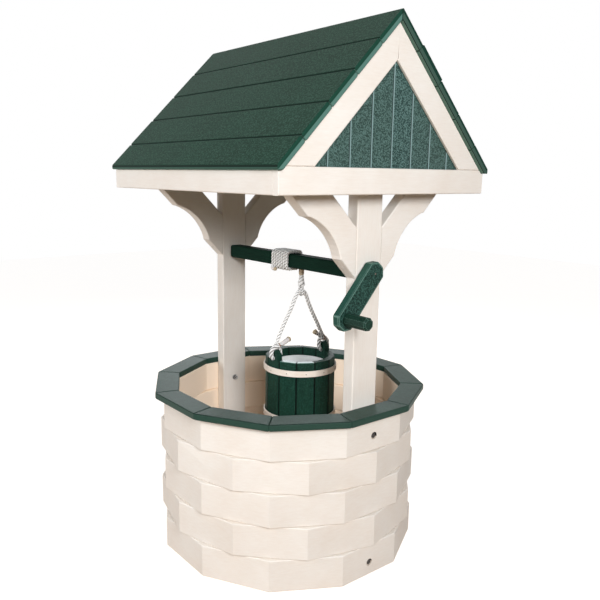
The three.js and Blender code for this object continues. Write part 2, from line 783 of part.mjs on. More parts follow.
addPiece('bucket_hoop_upper', hoop(bucketRimHeight - upperHoopSetback - hoopHeight), paleHoop);
addPiece('bucket_hoop_lower', hoop(bucketFoot + lowerHoopSetback), paleHoop);

// Liner: a plant pot that stands on the bucket's bottom
function liner() {
  const outer = bucketInnerApothem - seatGap;
  const inner = outer - linerWall;
  const foot = bucketFloor + seatGap;
  const top = bucketRimHeight - linerDepthBelowRim;
  return turned([
    [0, foot], [outer, foot], [outer, top], [inner, top], [inner, foot + linerWall],
    [0, foot + linerWall],
  ], roundSides, bucketX, bucketY);
}

addPiece('bucket_liner', liner(), greyLiner);

export default well;
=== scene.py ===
import math

import bpy
import numpy as np
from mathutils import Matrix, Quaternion, Vector


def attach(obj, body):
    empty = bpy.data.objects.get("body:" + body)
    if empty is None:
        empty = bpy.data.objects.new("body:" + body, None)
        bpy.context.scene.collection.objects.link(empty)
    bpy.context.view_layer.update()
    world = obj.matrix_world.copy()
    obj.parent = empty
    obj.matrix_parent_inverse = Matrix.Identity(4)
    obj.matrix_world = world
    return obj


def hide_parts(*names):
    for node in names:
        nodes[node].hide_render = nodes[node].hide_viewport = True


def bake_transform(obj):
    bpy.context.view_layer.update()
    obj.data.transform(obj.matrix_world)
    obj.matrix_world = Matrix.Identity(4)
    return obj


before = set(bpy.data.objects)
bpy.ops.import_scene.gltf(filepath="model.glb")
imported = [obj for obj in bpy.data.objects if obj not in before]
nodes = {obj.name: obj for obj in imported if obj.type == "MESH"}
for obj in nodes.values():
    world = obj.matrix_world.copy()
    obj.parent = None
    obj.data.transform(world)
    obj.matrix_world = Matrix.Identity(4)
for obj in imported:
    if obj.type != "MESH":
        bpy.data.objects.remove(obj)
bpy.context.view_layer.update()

mm = 0.001
axisX = -8.3709 * mm  # the well's own axis, seen from the middle of the whole part
bucketX, bucketY = 25 * mm + axisX, 24.65 * mm  # the upright axis of the bucket and of its rope

# The camera stands where the photograph was taken from
cameraValues = {
    "azimuth": 51.44,
    "elevation": 10.82,
    "roll": 0.74,
    "distance": 1981.4 * mm,
    "target": (axisX, 0, 683.14 * mm),
    "lens": 40.816,
    "sensor": 36,
    "shift": (11.08 / 600, 4.59 / 600),
    "clip": (0.05, 50),
}


def directionOf(azimuth, elevation):
    # from the object towards a camera or a lamp, with azimuth 0 in front
    azimuth, elevation = math.radians(azimuth), math.radians(elevation)
    return Vector((
        math.sin(azimuth) * math.cos(elevation),
        -math.cos(azimuth) * math.cos(elevation),
        math.sin(elevation),
    ))


def makeCamera(values):
    back = directionOf(values["azimuth"], values["elevation"])
    data = bpy.data.cameras.new("camera")
    data.lens, data.sensor_width = values["lens"], values["sensor"]
    data.shift_x, data.shift_y = values["shift"]
    data.clip_start, data.clip_end = values["clip"]
    camera = bpy.data.objects.new("camera", data)
    bpy.context.scene.collection.objects.link(camera)
    camera.rotation_mode = "QUATERNION"
    camera.location = Vector(values["target"]) + back * values["distance"]
    roll = Quaternion((0, 0, 1), math.radians(values["roll"]))
    camera.rotation_quaternion = (-back).to_track_quat("-Z", "Y") @ roll
    bpy.context.scene.camera = camera


makeCamera(cameraValues)
print("camera set")


class Socket:
    # One output in a material's tree. Sums and products with it add Math nodes.
    def __init__(self, look, link):
        self.look, self.link = look, link

    def maths(self, operation, first, second):
        return self.look.node("ShaderNodeMath", {"operation": operation}, {0: first, 1: second})

    def __add__(self, other):
        return self.maths("ADD", self, other)

    def __radd__(self, other):
        return self.maths("ADD", other, self)

    def __sub__(self, other):
        return self.maths("SUBTRACT", self, other)

    def __rsub__(self, other):
        return self.maths("SUBTRACT", other, self)

    def __mul__(self, other):
        return self.maths("MULTIPLY", self, other)

    def __rmul__(self, other):
        return self.maths("MULTIPLY", other, self)

    def __pow__(self, other):
        return self.maths("POWER", self, other)


class Look:
    # One material: any node comes from node(), and feed() joins the shader's sockets.
    def __init__(self, name, fixed):
        self.material = bpy.data.materials.new(name)
        self.material.use_nodes = True
        self.tree = self.material.node_tree
        self.shader = self.tree.nodes["Principled BSDF"]
        for socket, value in fixed.items():
            self.shader.inputs[socket].default_value = value

    def node(self, kind, settings=None, values=None, output=0):
        node = self.tree.nodes.new(kind)
        for name, value in (settings or {}).items():
            if name == "stops":
                self.setStops(node.color_ramp, value)
            else:
                setattr(node, name, value)
        for key, value in (values or {}).items():
            if isinstance(value, Socket):
                self.tree.links.new(value.link, node.inputs[key])
            else:
                node.inputs[key].default_value = value
        return Socket(self, node.outputs[output])

    def setStops(self, ramp, stops):
        while len(ramp.elements) < len(stops):
            ramp.elements.new(1)
        for element, (place, colour) in zip(ramp.elements, stops):
            element.position = place
            element.color = colour if isinstance(colour, tuple) else (colour, colour, colour, 1)

    def feed(self, **links):
        for socket, value in links.items():
            self.tree.links.new(value.link, self.shader.inputs[socket.replace("_", " ")])

    def noise(self, place, scale, detail=2, roughness=0.5):
        return self.node("ShaderNodeTexNoise", {}, {
            "Vector": place, "Scale": scale, "Detail": detail, "Roughness": roughness}, "Fac")

    def ramp(self, factor, stops):
        return self.node("ShaderNodeValToRGB", {"stops": stops}, {"Fac": factor})

    def mix(self, factor, first, second):
        return self.node("ShaderNodeMix", {"data_type": "RGBA"}, {0: factor, 6: first, 7: second}, 2)

    def place(self, stretch):
        spot = self.node("ShaderNodeTexCoord", output="Object")
        return self.node("ShaderNodeMapping", {}, {"Vector": spot, "Scale": stretch})

    def fromAxis(self, x, y):
        # across and along, measured from an upright axis
        return self.spot("X") - x, self.spot("Y") - y

    def axisDistance(self, x, y):
        across, along = self.fromAxis(x, y)
        return (across * across + along * along) ** 0.5

    def facing(self, axis):
        # 1 where the surface faces along an axis, -1 where it faces against it
        normal = self.node("ShaderNodeTexCoord", output="Normal")
        return self.node("ShaderNodeVectorMath", {"operation": "DOT_PRODUCT"}, {0: normal, 1: axis}, "Value")

    def facingEither(self, axis):
        return self.size(self.facing(axis))

    def size(self, value):
        return self.node("ShaderNodeMath", {"operation": "ABSOLUTE"}, {0: value})

    def share(self, value):
        return self.node("ShaderNodeMath", {"operation": "FRACT"}, {0: value})

    def spot(self, axis):
        place = self.node("ShaderNodeTexCoord", output="Object")
        return self.node("ShaderNodeSeparateXYZ", {}, {0: place}, axis)

    def rise(self, value, low, high):
        # 0 at low, 1 at high, straight between
        return self.node("ShaderNodeMapRange", {"clamp": True}, {0: value, 1: low, 2: high, 3: 0.0, 4: 1.0})

    def bump(self, height, distance, strength):
        return self.node("ShaderNodeBump", {}, {
            "Height": height, "Distance": distance, "Strength": strength}, "Normal")


def fromHex(code):
    channels = [int(code[i:i + 2], 16) / 255 for i in (0, 2, 4)]
    linear = [c / 12.92 if c <= 0.04045 else ((c + 0.055) / 1.055) ** 2.4 for c in channels]
    return (*linear, 1)


# Grain runs along the axis whose stretch is small
grainAlong = {"x": (0.12, 1, 1), "y": (1, 0.12, 1), "z": (1, 1, 0.12), "round": (0.2, 0.2, 1)}

creamValues = {
    "light": "f1eae0",
    "dark": "eadfd2",
    "inside": "ffe9d0",  # the wall's inner face, lighter and warmer with painted bounce light, and how far out it reaches
    "insideRadius": 348 * mm,
    "insideBlur": 6 * mm,
    "roughness": 0.5,
    "specular": 0.4,
    "grainScale": 260,
    "patchScale": 9,
    "speckScale": 900,
    "bumpDepth": 0.12 * mm,
}
greenValues = {
    "light": "2c4d40",
    "dark": "1a3329",
    "fleck": "557f72",
    "fleckShare": 0.5,
    "roughness": 0.5,
    "specular": 0.2,
    "grainScale": 300,
    "patchScale": 7,
    "fleckFrom": 0.5,
    "fleckTo": 0.72,
    "stippleScale": 420,
    "bumpDepth": 0.35 * mm,
    "sheenGrey": "5c625a",  # the grey that painted sheen mixes in
    "cut": "3f6f60",  # a tone painted on the sides for how light falls on them
    "cutShare": 0.6,
}
roofValues = {
    **greenValues, "light": "17382a", "dark": "0e261b", "fleck": "486a5a", "fleckShare": 0.42,
    "fleckFrom": 0.48, "fleckTo": 0.58, "stippleScale": 250, "specular": 0.05,
}
gableValues = {
    **greenValues, "light": "1d3733", "dark": "0f2422", "fleck": "6d8f88", "fleckShare": 0.68,
    "fleckFrom": 0.465, "fleckTo": 0.565, "stippleScale": 320,
}
# the arm's faces that don't look along X get a lighter tone: painted light
crankValues = {
    **gableValues, "light": "15312a", "dark": "0a1b15", "fleck": "41675c", "cut": "284d42",
    "cutShare": 0.85, "specular": 0.1,
}
handleValues = {
    **crankValues, "light": "163025", "dark": "091b14", "fleck": "2c5144", "fleckShare": 0.4,
}
edgeValues = {  # the bevelled edges of the arm and the handle, glossier and lighter with a painted highlight
    **greenValues, "light": "55796c", "dark": "37594d", "fleck": "8fb0a5", "roughness": 0.35,
    "specular": 0.3,
}
# the rim's upright faces get a darker tone: painted shade
rimValues = {
    **greenValues, "light": "34483f", "dark": "22342c", "specular": 0.18, "cut": "1b3a2f",
    "cutShare": 0.75,
}
# a darker copy of the boards' green for the bucket's staves: painted shade
staveGreenValues = {
    **greenValues, "light": "173c2e", "dark": "0a2118", "fleck": "37665a", "fleckShare": 0.5,
    "stippleScale": 330, "specular": 0.12,
}
# a darker copy of the boards' green for the winch bar: painted shade, as it lies under the roof
barValues = {
    **greenValues, "light": "0f2c20", "dark": "061811", "fleck": "2a5345", "fleckShare": 0.3,
    "specular": 0.04, "roughness": 0.65,
}


def creamLook(name, along, values=creamValues, inside=False):
    look = Look(name, {"Specular IOR Level": values["specular"]})
    plain, grained = look.place((1, 1, 1)), look.place(grainAlong[along])
    grain = look.noise(grained, values["grainScale"], 4, 0.6)
    patches = look.noise(plain, values["patchScale"], 3)
    specks = look.noise(plain, values["speckScale"], 2)
    tone = patches * 0.5 + grain * 0.35 + specks * 0.15
    colour = look.ramp(tone, [(0.35, fromHex(values["dark"])), (0.62, fromHex(values["light"]))])
    # painted bounce light: inside the wall, the boards take a lighter, warmer tone
    if inside:
        radius, blur = values["insideRadius"], values["insideBlur"]
        outside = look.ramp(look.axisDistance(axisX, 0), [(radius - blur, 0.0), (radius, 1.0)])
        colour = look.mix(outside, fromHex(values["inside"]), colour)
    look.feed(
        Base_Color=colour,
        Roughness=values["roughness"] + 0.16 * (grain - 0.5),
        Normal=look.bump(grain * 0.6 + specks * 0.4, values["bumpDepth"], 0.5))
    return look.material


staveValues = {
    "count": 12,
    "joint": "04100b",
    "dark": 0.025,  # half a joint, and where it ends, in shares of a stave
    "clear": 0.055,
    "shineAngle": math.radians(-45),  # which way the two staves with a painted shine on their tops face
    "shineHalf": math.radians(29),
    "shineBlur": 0.02,
    "shine": 0.8,
    "coatRoughness": 0.3,
    "paintedShine": "5f887d",
    "topFrom": 532 * mm,
    "topBlur": 1 * mm,
}


def staveFinish(look, colour):
    # dark lines where two staves meet, and on one side tops with a painted shine and a coat
    v = staveValues
    across, along = look.fromAxis(bucketX, bucketY)
    angle = look.node("ShaderNodeMath", {"operation": "ARCTAN2"}, {0: along, 1: across})
    apart = look.size(look.share(angle * (v["count"] / (2 * math.pi))) - 0.5)
    clear = look.rise(apart, v["dark"], v["clear"])
    apartFromShine = look.size(angle - v["shineAngle"])
    towards = look.rise(apartFromShine, v["shineHalf"] + v["shineBlur"], v["shineHalf"])
    high = look.rise(look.spot("Z"), v["topFrom"], v["topFrom"] + v["topBlur"])
    tops = look.rise(look.facingEither((0, 0, 1)), 0.3, 0.6) * high
    look.shader.inputs["Coat Roughness"].default_value = v["coatRoughness"]
    # painted shine: the tops of the staves facing shineAngle get a lighter colour and a coat
    look.feed(Coat_Weight=towards * tops * clear * v["shine"])
    colour = look.mix(towards * tops * v["shine"], colour, fromHex(v["paintedShine"]))
    return look.mix(clear, fromHex(v["joint"]), colour)


roofPaintValues = {
    "ridge": 1428.7 * mm,
    "boardDrop": 73 * mm,  # from a joint down to the next
    "joint": "10231b",
    "jointFrom": 2.55 * mm,
    "jointTo": 1.36 * mm,
    "frontEnd": ("1b3f32", "567a6f"),  # a board's end: painted shade near its top and a painted highlight in its middle
    "backEnd": ("14352a", "3f574c"),
    "topDepth": 7.5 * mm,
    "topBlur": 0.5 * mm,
    # deeper than this, a board's end gets a painted shadow; faces looking down get painted bounce light
    "underDepth": 17 * mm,
    "under": "0a1611",
    "underside": "5d7b6e",
    "eave": (1063.7 * mm, 1074.5 * mm),  # the upright edge of the lowest board
    # on the eave's upright edge: painted shade at its top, this tone as a painted highlight, a painted shadow
    # at its foot
    "nose": "3c5a4e",
    "noseTop": (6 * mm, 4 * mm),
    "noseFoot": (3.5 * mm, 2 * mm),
}


def roofFinish(look, colour):
    # dark joints; painted shade, highlight and shadow on the eave's upright edge and across the boards' ends;
    # painted bounce light on faces looking down
    v = roofPaintValues
    down = v["ridge"] - look.spot("Z")
    apart = look.size(look.share(down * (1 / v["boardDrop"])) - 0.5) * v["boardDrop"]
    half = v["boardDrop"] / 2
    line = look.rise(apart, half - v["jointFrom"], half - v["jointTo"])
    colour = look.mix(line, colour, fromHex(v["joint"]))
    # the eave's upright edge: painted shade at its top, a painted highlight, and a painted shadow at its foot
    low, high = v["eave"]
    height = look.spot("Z")
    noseTop = look.rise(height, high - v["noseTop"][0], high - v["noseTop"][1])
    noseFoot = look.rise(height, low + v["noseFoot"][0], low + v["noseFoot"][1])
    nose = look.mix(noseTop, fromHex(v["nose"]), fromHex(v["joint"]))
    nose = look.mix(noseFoot, nose, fromHex(v["under"]))
    colour = look.mix(look.rise(height, high + mm, high), colour, nose)
    # painted bounce light on faces looking down
    colour = look.mix(look.rise(look.facing((0, 0, -1)), 0.4, 0.6), colour, fromHex(v["underside"]))
    # the boards' ends: painted shade near the top, a painted highlight in the middle, a painted shadow at the
    # underside
    behind = look.rise(look.spot("Y"), -1 * mm, 1 * mm)
    depth = (down - look.size(look.spot("Y"))) * math.sqrt(0.5)
    top, middle = (look.mix(behind, fromHex(front), fromHex(back))
                   for front, back in zip(v["frontEnd"], v["backEnd"]))
    upper = look.rise(depth, v["topDepth"] + v["topBlur"], v["topDepth"] - v["topBlur"])
    tone = look.mix(upper, middle, top)
    tone = look.mix(look.rise(depth, v["underDepth"], v["underDepth"] + mm), tone, fromHex(v["under"]))
    return look.mix(look.rise(look.facingEither((1, 0, 0)), 0.25, 0.5), colour, tone)


grooveValues = {
    "face": 381.26 * mm,
    "pitch": 67.3 * mm,
    "lit": "7b9492",
    "deep": "10221b",
    "litDepth": 1.9 * mm,
    "litBlur": 0.3 * mm,
    "boardTint": "3c4f45",
    "tintShare": 0.35,
    "tintSeed": 3.5,
}


def gableFinish(look, colour):
    # boards that differ a little, and groove walls with a painted highlight near the face and painted shade
    # deeper in
    v = grooveValues
    number = look.node("ShaderNodeMath", {"operation": "FLOOR"}, {0: look.spot("Y") * (1 / v["pitch"])})
    odds = look.node("ShaderNodeTexWhiteNoise", {"noise_dimensions": "1D"}, {
        "W": number + v["tintSeed"]}, "Value")
    colour = look.mix(odds * v["tintShare"], colour, fromHex(v["boardTint"]))
    # painted highlight and painted shade on the groove walls, by depth
    depth = v["face"] - look.size(look.spot("X") - axisX)
    deep = look.rise(depth, v["litDepth"] - v["litBlur"], v["litDepth"] + v["litBlur"])
    groove = look.mix(deep, fromHex(v["lit"]), fromHex(v["deep"]))
    return look.mix(look.rise(look.facingEither((0, 1, 0)), 0.3, 0.5), colour, groove)


def greenLook(name, along, values, finish=None, acrossAxis=None):
    # acrossAxis: faces that don't look along it get the painted side tone, for how light falls on them
    look = Look(name, {"Specular IOR Level": values["specular"]})
    plain, grained = look.place((1, 1, 1)), look.place(grainAlong[along])
    grain = look.noise(grained, values["grainScale"], 4, 0.6)
    patches = look.noise(plain, values["patchScale"], 3)
    stipple = look.noise(plain, values["stippleScale"], 3, 0.65)
    tone = patches * 0.4 + grain * 0.6
    ground = look.ramp(tone, [(0.3, fromHex(values["dark"])), (0.68, fromHex(values["light"]))])
    flecks = look.ramp(stipple, [(values["fleckFrom"], 0.0), (values["fleckTo"], 1.0)])
    colour = look.mix(flecks * values["fleckShare"], ground, fromHex(values["fleck"]))
    # painted sheen: a board greyed by the amount stored on its mesh
    fade = look.node("ShaderNodeAttribute", {"attribute_name": "fade"}, output="Fac")
    colour = look.mix(fade, colour, fromHex(values["sheenGrey"]))
    # painted light and shade on the sides, by which way a face looks
    if acrossAxis:
        cut = look.ramp(look.facingEither(acrossAxis), [(0.6, 1.0), (0.8, 0.0)])
        colour = look.mix(cut * values["cutShare"], colour, fromHex(values["cut"]))
    if finish:
        colour = finish(look, colour)
    look.feed(
        Base_Color=colour,
        Roughness=values["roughness"] + 0.2 * (stipple - 0.5),
        Normal=look.bump(stipple * 0.7 + grain * 0.3, values["bumpDepth"], 0.6))
    return look.material


ropeValues = {
    "light": "fbfaf7",
    "dark": "efebe3",
    # the painted shade in the grooves between strands
    "groove": "6a6157",
    "roughness": 0.55,
    "sheen": 0.6,
    "specular": 0.8,
    "fuzzScale": 1400,
    "yarnDepth": 0.25 * mm,
}


def ropeLook(values):
    # yarn and depth come from the strands: where in its yarns' turns and how near a groove a point is; depth
    # carries painted shade in the grooves and where turns crowd
    look = Look("ropeLook", {"Roughness": values["roughness"], "Sheen Weight": values["sheen"],
                             "Specular IOR Level": values["specular"]})
    plain = look.place((1, 1, 1))
    yarn = look.node("ShaderNodeAttribute", {"attribute_name": "yarn"}, output="Fac")
    depth = look.node("ShaderNodeAttribute", {"attribute_name": "depth"}, output="Fac")
    wave = look.node("ShaderNodeMath", {"operation": "SINE"}, {0: yarn})
    fuzz = look.noise(plain, values["fuzzScale"], 2)
    tone = wave * 0.25 + fuzz * 0.5 + 0.25
    body = look.ramp(tone, [(0.2, fromHex(values["dark"])), (0.6, fromHex(values["light"]))])
    colour = look.mix(depth, fromHex(values["groove"]), body)
    look.feed(Base_Color=colour, Normal=look.bump(wave * 0.7 + fuzz * 0.5, values["yarnDepth"], 0.7))
    return look.material


steelValues = {
    "dark": "b4b2af",
    "light": "e6e6e4",
    "paintedShade": "231e1b",
    "scratchScale": 700,
    "brightWithin": (350 * mm, 346 * mm),  # from the well's axis, so the wall's outer heads stay in painted shade
    "bumpDepth": 0.05 * mm,
}


def steelLook(values):
    # ends in the steel's own colour, and sides and the wall's outer heads in painted shade, less metallic
    look = Look("steelLook", {})
    scratches = look.noise(look.place((1, 1, 1)), values["scratchScale"], 3)
    colour = look.ramp(scratches, [(0.3, fromHex(values["dark"])), (0.7, fromHex(values["light"]))])
    # painted shade wherever a face doesn't look along X, and on the wall's outer heads
    within = look.rise(look.axisDistance(axisX, 0), *values["brightWithin"])
    bright = look.rise(look.facingEither((1, 0, 0)), 0.5, 0.8) * within
    look.feed(
        Base_Color=look.mix(bright, fromHex(values["paintedShade"]), colour),
        Roughness=0.25 + 0.25 * scratches,
        Metallic=0.15 + 0.4 * bright,
        Normal=look.bump(scratches, values["bumpDepth"], 0.4))
    return look.material


# Two noises, the fine one first and then the cloudy one, with their scales and shares
linerValues = {
    "dark": "f0f0ec",
    "light": "fcfcfa",
    "specular": 0.4,
    "roughness": 0.4,
    "stretch": (1, 1, 1),
    "fine": (800, 2, 0.5, 0.3),  # scale, detail, roughness, share
    "cloud": (30, 3, 0.7),  # scale, detail, share
    "bumpDepth": 0.08 * mm,
    "bumpStrength": 0.4,
}
hoopValues = {
    "dark": "ead6c2",
    "light": "faeee0",
    "specular": 0.35,
    "roughness": 0.45,
    "stretch": (0.15, 0.15, 1),
    "fine": (500, 4, 0.6, 0.6),
    "cloud": (20, 2, 0.4),
    "bumpDepth": 0.15 * mm,
    "bumpStrength": 0.5,
}


def cloudedLook(name, values):
    look = Look(name, {"Specular IOR Level": values["specular"]})
    *fineNoise, fineShare = values["fine"]
    *cloudNoise, cloudShare = values["cloud"]
    fine = look.noise(look.place(values["stretch"]), *fineNoise)
    cloud = look.noise(look.place((1, 1, 1)), *cloudNoise)
    tone = fine * fineShare + cloud * cloudShare
    colour = look.ramp(tone, [(0.3, fromHex(values["dark"])), (0.7, fromHex(values["light"]))])
    look.feed(
        Base_Color=colour,
        Roughness=values["roughness"] + 0.2 * fine,
        Normal=look.bump(fine, values["bumpDepth"], values["bumpStrength"]))
    return look.material


# Small plain parts: dark and light colour, roughness, metallic
plainValues = {
    "nail": ("4a4038", "6e6257", 0.5, 0.4),
    "ropeEnd": ("8f7a5c", "d9c7a8", 0.6, 0),
    "tape": ("cdbeb9", "fffbf7", 0.5, 0),
    "dropTape": ("a98f70", "dccaae", 0.5, 0),
    "binding": ("6b4a3a", "9a7461", 0.5, 0),
    "plug": ("d9d0c4", "ece4da", 0.5, 0),
}
gritScale = 900


def plainLook(name, dark, light, roughness, metallic):
    look = Look(name, {"Metallic": metallic})
    grit = look.noise(look.place((1, 1, 1)), gritScale, 2)
    colour = look.ramp(grit, [(0.3, fromHex(dark)), (0.7, fromHex(light))])
    look.feed(
        Base_Color=colour,
        Roughness=roughness + 0.2 * (grit - 0.5),
        Normal=look.bump(grit, 0.05 * mm, 0.4))
    return look.material


holeValues = {"dark": "0f0c0a", "light": "1c1612", "lit": "e6d6c4", "roughness": 0.8}


def holeShadingLook(values):
    # painted shade above and painted light below, where light falls into a hole
    look = Look("holeShadingLook", {"Roughness": values["roughness"]})
    grit = look.noise(look.place((1, 1, 1)), gritScale, 2)
    dark = look.ramp(grit, [(0.3, fromHex(values["dark"])), (0.7, fromHex(values["light"]))])
    lit = look.node("ShaderNodeAttribute", {"attribute_name": "lit"}, output="Fac")
    look.feed(Base_Color=look.mix(lit, dark, fromHex(values["lit"])))
    return look.material


looks = {
    "creamX": creamLook("creamAlongX", "x"),
    "creamY": creamLook("creamAlongY", "y"),
    "creamZ": creamLook("creamUpright", "z"),
    "creamRound": creamLook("creamRound", "round", inside=True),
    "roof": greenLook("greenRoof", "x", roofValues, roofFinish),
    "rim": greenLook("greenRim", "round", rimValues, acrossAxis=(0, 0, 1)),
    "gable": greenLook("greenGable", "z", gableValues, gableFinish),
    "crank": greenLook("greenCrank", "x", crankValues, acrossAxis=(1, 0, 0)),
    "handle": greenLook("greenHandle", "x", handleValues),
    "edge": greenLook("greenEdgeShine", "x", edgeValues),
    "bar": greenLook("shadedGreenBar", "x", barValues),
    "stave": greenLook("shadedGreenStave", "z", staveGreenValues, staveFinish),
    "rope": ropeLook(ropeValues),
    "steel": steelLook(steelValues),
    "liner": cloudedLook("linerLook", linerValues),
    "hoop": cloudedLook("hoopLook", hoopValues),
    "hole": holeShadingLook(holeValues),
    **{name: plainLook(name + "Look", *values) for name, values in plainValues.items()},
}
print("materials made")


# The CAD's own pieces: a finish, then the width of their eased edges in mm, its segments and the least
# angle in degrees. The roof boards are remade below, so they get no eased edges here.
nodeValues = {
    "wall_course": ("creamRound", 1, 2, 40),
    "rim_board": ("rim", 1.4, 2, 24),
    "post": ("creamZ", 1.4, 2, 24),
    "tie_beam": ("creamY", 1.4, 2, 24),
    "brace": ("creamY", 1.4, 2, 24),
    "wall_bolt": ("steel", 0.35, 2, 24),
    "side_fascia": ("creamX", 1.2, 2, 24),
    "gable_fascia": ("creamY", 1.2, 2, 24),
    "rake": ("creamY", 0.2, 1, 24),
    "gable_panel": ("gable", 0.5, 2, 24),
    "roof_board": ("roof",),
    "winch_bar": ("bar", 1, 2, 24),
    "crank_arm": ("crank", 2.6, 3, 24),
    "crank_handle": ("handle", 1.6, 3, 24),
    "bucket_body": ("stave", 2.2, 3, 24),
    "bucket_hoop": ("hoop", 1.6, 3, 24),
    "bucket_liner": ("liner", 0.8, 2, 24),
}
paintedShine = ("crank_arm", "crank_handle")  # their eased edges get a look of their own, glossier and lighter with a painted highlight
weldWithin = 0.01 * mm


def easeEdges(piece, width, segments, angle):
    weld = piece.modifiers.new("weld", "WELD")
    weld.merge_threshold = weldWithin
    bevel = piece.modifiers.new("easedEdges", "BEVEL")
    bevel.width, bevel.segments = width * mm, segments
    bevel.limit_method, bevel.angle_limit = "ANGLE", math.radians(angle)
    bevel.harden_normals = True
    return bevel


for name, piece in nodes.items():
    kind = next((k for k in nodeValues if name.startswith(k)), None)
    if kind is None:
        continue
    finish, *ease = nodeValues[kind]
    piece.data.materials.clear()
    piece.data.materials.append(looks[finish])
    if ease:
        bevel = easeEdges(piece, *ease)
        if kind in paintedShine:
            piece.data.materials.append(looks["edge"])
            bevel.material = 1
print("CAD nodes dressed")


def throughPoints(points, step, perSpan=24):
    # a smooth line through the points, then spaced evenly
    points = np.array(points, float)
    at = np.concatenate([[0], np.cumsum(np.linalg.norm(np.diff(points, axis=0), axis=1) ** 0.5)])
    slope = np.gradient(points, at, axis=0)
    fine = [points[:1]]
    for i in range(len(points) - 1):
        t = np.linspace(0, 1, perSpan + 1)[1:, None]
        span = at[i + 1] - at[i]
        fine.append(
            (2 * t**3 - 3 * t**2 + 1) * points[i] + (t**3 - 2 * t**2 + t) * span * slope[i]
            + (3 * t**2 - 2 * t**3) * points[i + 1] + (t**3 - t**2) * span * slope[i + 1])
    return spacedEvenly(np.concatenate(fine), step)


def spacedEvenly(path, step):
    along = np.concatenate([[0], np.cumsum(np.linalg.norm(np.diff(path, axis=0), axis=1))])
    at = np.linspace(0, along[-1], max(3, round(along[-1] / step) + 1))
    return np.stack([np.interp(at, along, path[:, k]) for k in range(3)], axis=1)


def unit(rows):
    return rows / np.linalg.norm(rows, axis=-1, keepdims=True)


def framesAlong(path):
    # the way ahead and two ways across it, without twist
    ahead = unit(np.gradient(path, axis=0))
    start = np.cross(ahead[0], (1, 0, 0) if abs(ahead[0][0]) < 0.9 else (0, 1, 0))
    side = [unit(start)]
    for direction in ahead[1:]:
        side.append(unit(side[-1] - direction * (side[-1] @ direction)))
    side = np.array(side)
    return ahead, side, np.cross(ahead, side)


def addMesh(name, points, faces, look, smooth=True):
    mesh = bpy.data.meshes.new(name)
    mesh.from_pydata([tuple(p) for p in points], [], faces)
    mesh.materials.append(look)
    mesh.polygons.foreach_set("use_smooth", [smooth] * len(mesh.polygons))
    mesh.update()
    piece = bpy.data.objects.new(name, mesh)
    bpy.context.scene.collection.objects.link(piece)
    return piece


def tubeFaces(rings, sides, first=0):
    # the tube's side and its two end caps
    faces = [
        (first + i * sides + k, first + i * sides + (k + 1) % sides,
         first + (i + 1) * sides + (k + 1) % sides, first + (i + 1) * sides + k)
        for i in range(rings - 1) for k in range(sides)
    ]
    faces.append(tuple(first + k for k in reversed(range(sides))))
    faces.append(tuple(first + (rings - 1) * sides + k for k in range(sides)))
    return faces


def sweepTube(path, radii, sides):
    _, side, up = framesAlong(path)
    turn = np.linspace(0, 2 * np.pi, sides, endpoint=False)
    ring = np.cos(turn)[None, :, None] * side[:, None] + np.sin(turn)[None, :, None] * up[:, None]
    return (path[:, None] + ring * np.broadcast_to(radii, len(path))[:, None, None]).reshape(-1, 3)


def plainTube(name, path, radii, sides, look):
    return addMesh(name, sweepTube(path, radii, sides), tubeFaces(len(path), sides), look)


# Roof boards with well rounded edges, over the CAD's plain ones
roofBoardValues = {
    "count": 5,
    "halfSpan": 365 * mm,
    "halfLength": 401.6 * mm,
    "ridge": 1428.7 * mm,
    "nose": 12 * mm,
    "thickness": 19 * mm,
    "gap": 1 * mm,
    "rounding": {"front": 4.2, "back": 1.8},  # in mm
    "segments": 3,
    "leastAngle": 24,
    # from the ridge down: how far each board stands off the slope in mm, and how much painted sheen greys it
    "proud": {"front": [0, 0.4, 0, 0.5, 0.2], "back": [0, 3.6, 0.5, 0, 0.4]},
    "fade": {"front": [0.08, 0.06, 0.04, 0.02, 0], "back": [0.1, 0.05, 0.05, 0, 0]},
}


def prism(name, outline, fromX, toX, look):
    # outline: pairs of Y and Z, turned the right way round first
    area = sum(a[0] * b[1] - b[0] * a[1] for a, b in zip(outline, outline[1:] + outline[:1]))
    if area < 0:
        outline = outline[::-1]
    count = len(outline)
    points = [(axisX + x, y, z) for x in (fromX, toX) for y, z in outline]
    sides = [(k, (k + 1) % count, count + (k + 1) % count, count + k) for k in range(count)]
    ends = [tuple(reversed(range(count))), tuple(range(count, 2 * count))]
    return addMesh(name, points, sides + ends, look)


def roofBoard(side, index, v):
    slant = math.sqrt(0.5)
    proud = v["proud"][side][index] * mm
    toward = -1 if side == "front" else 1

    def onSlope(along, depth):
        # Y and Z of a point so far down the slope and so deep below it
        depth -= proud
        return toward * (along - depth) * slant, v["ridge"] - (along + depth) * slant

    slope = v["halfSpan"] / slant
    start = index * slope / v["count"] + v["gap"] / 2
    end = (index + 1) * slope / v["count"] - v["gap"] / 2
    thick = v["thickness"] + proud
    upper = [onSlope(start, thick), onSlope(start, 0)]
    lower = [onSlope(end, 0), onSlope(end, thick)]
    if index == 0:
        start = v["gap"] * slant
        upper = [onSlope(start + thick, thick), onSlope(start, 0)]
    if index == v["count"] - 1:
        out, eave = v["halfSpan"] - v["nose"], v["ridge"] - v["halfSpan"]
        lower = [(toward * out, eave + v["nose"]), (toward * out, eave), onSlope(slope - thick, thick)]
    board = prism(f"roof_{side}_{index + 1}", upper + lower, -v["halfLength"], v["halfLength"],
                  looks["roof"])
    fade = board.data.attributes.new("fade", "FLOAT", "POINT")
    fade.data.foreach_set("value", [v["fade"][side][index]] * len(board.data.vertices))
    easeEdges(board, v["rounding"][side], v["segments"], v["leastAngle"])
    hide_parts(f"roof_board_{side}_{index + 1}")
    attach(board, "well")


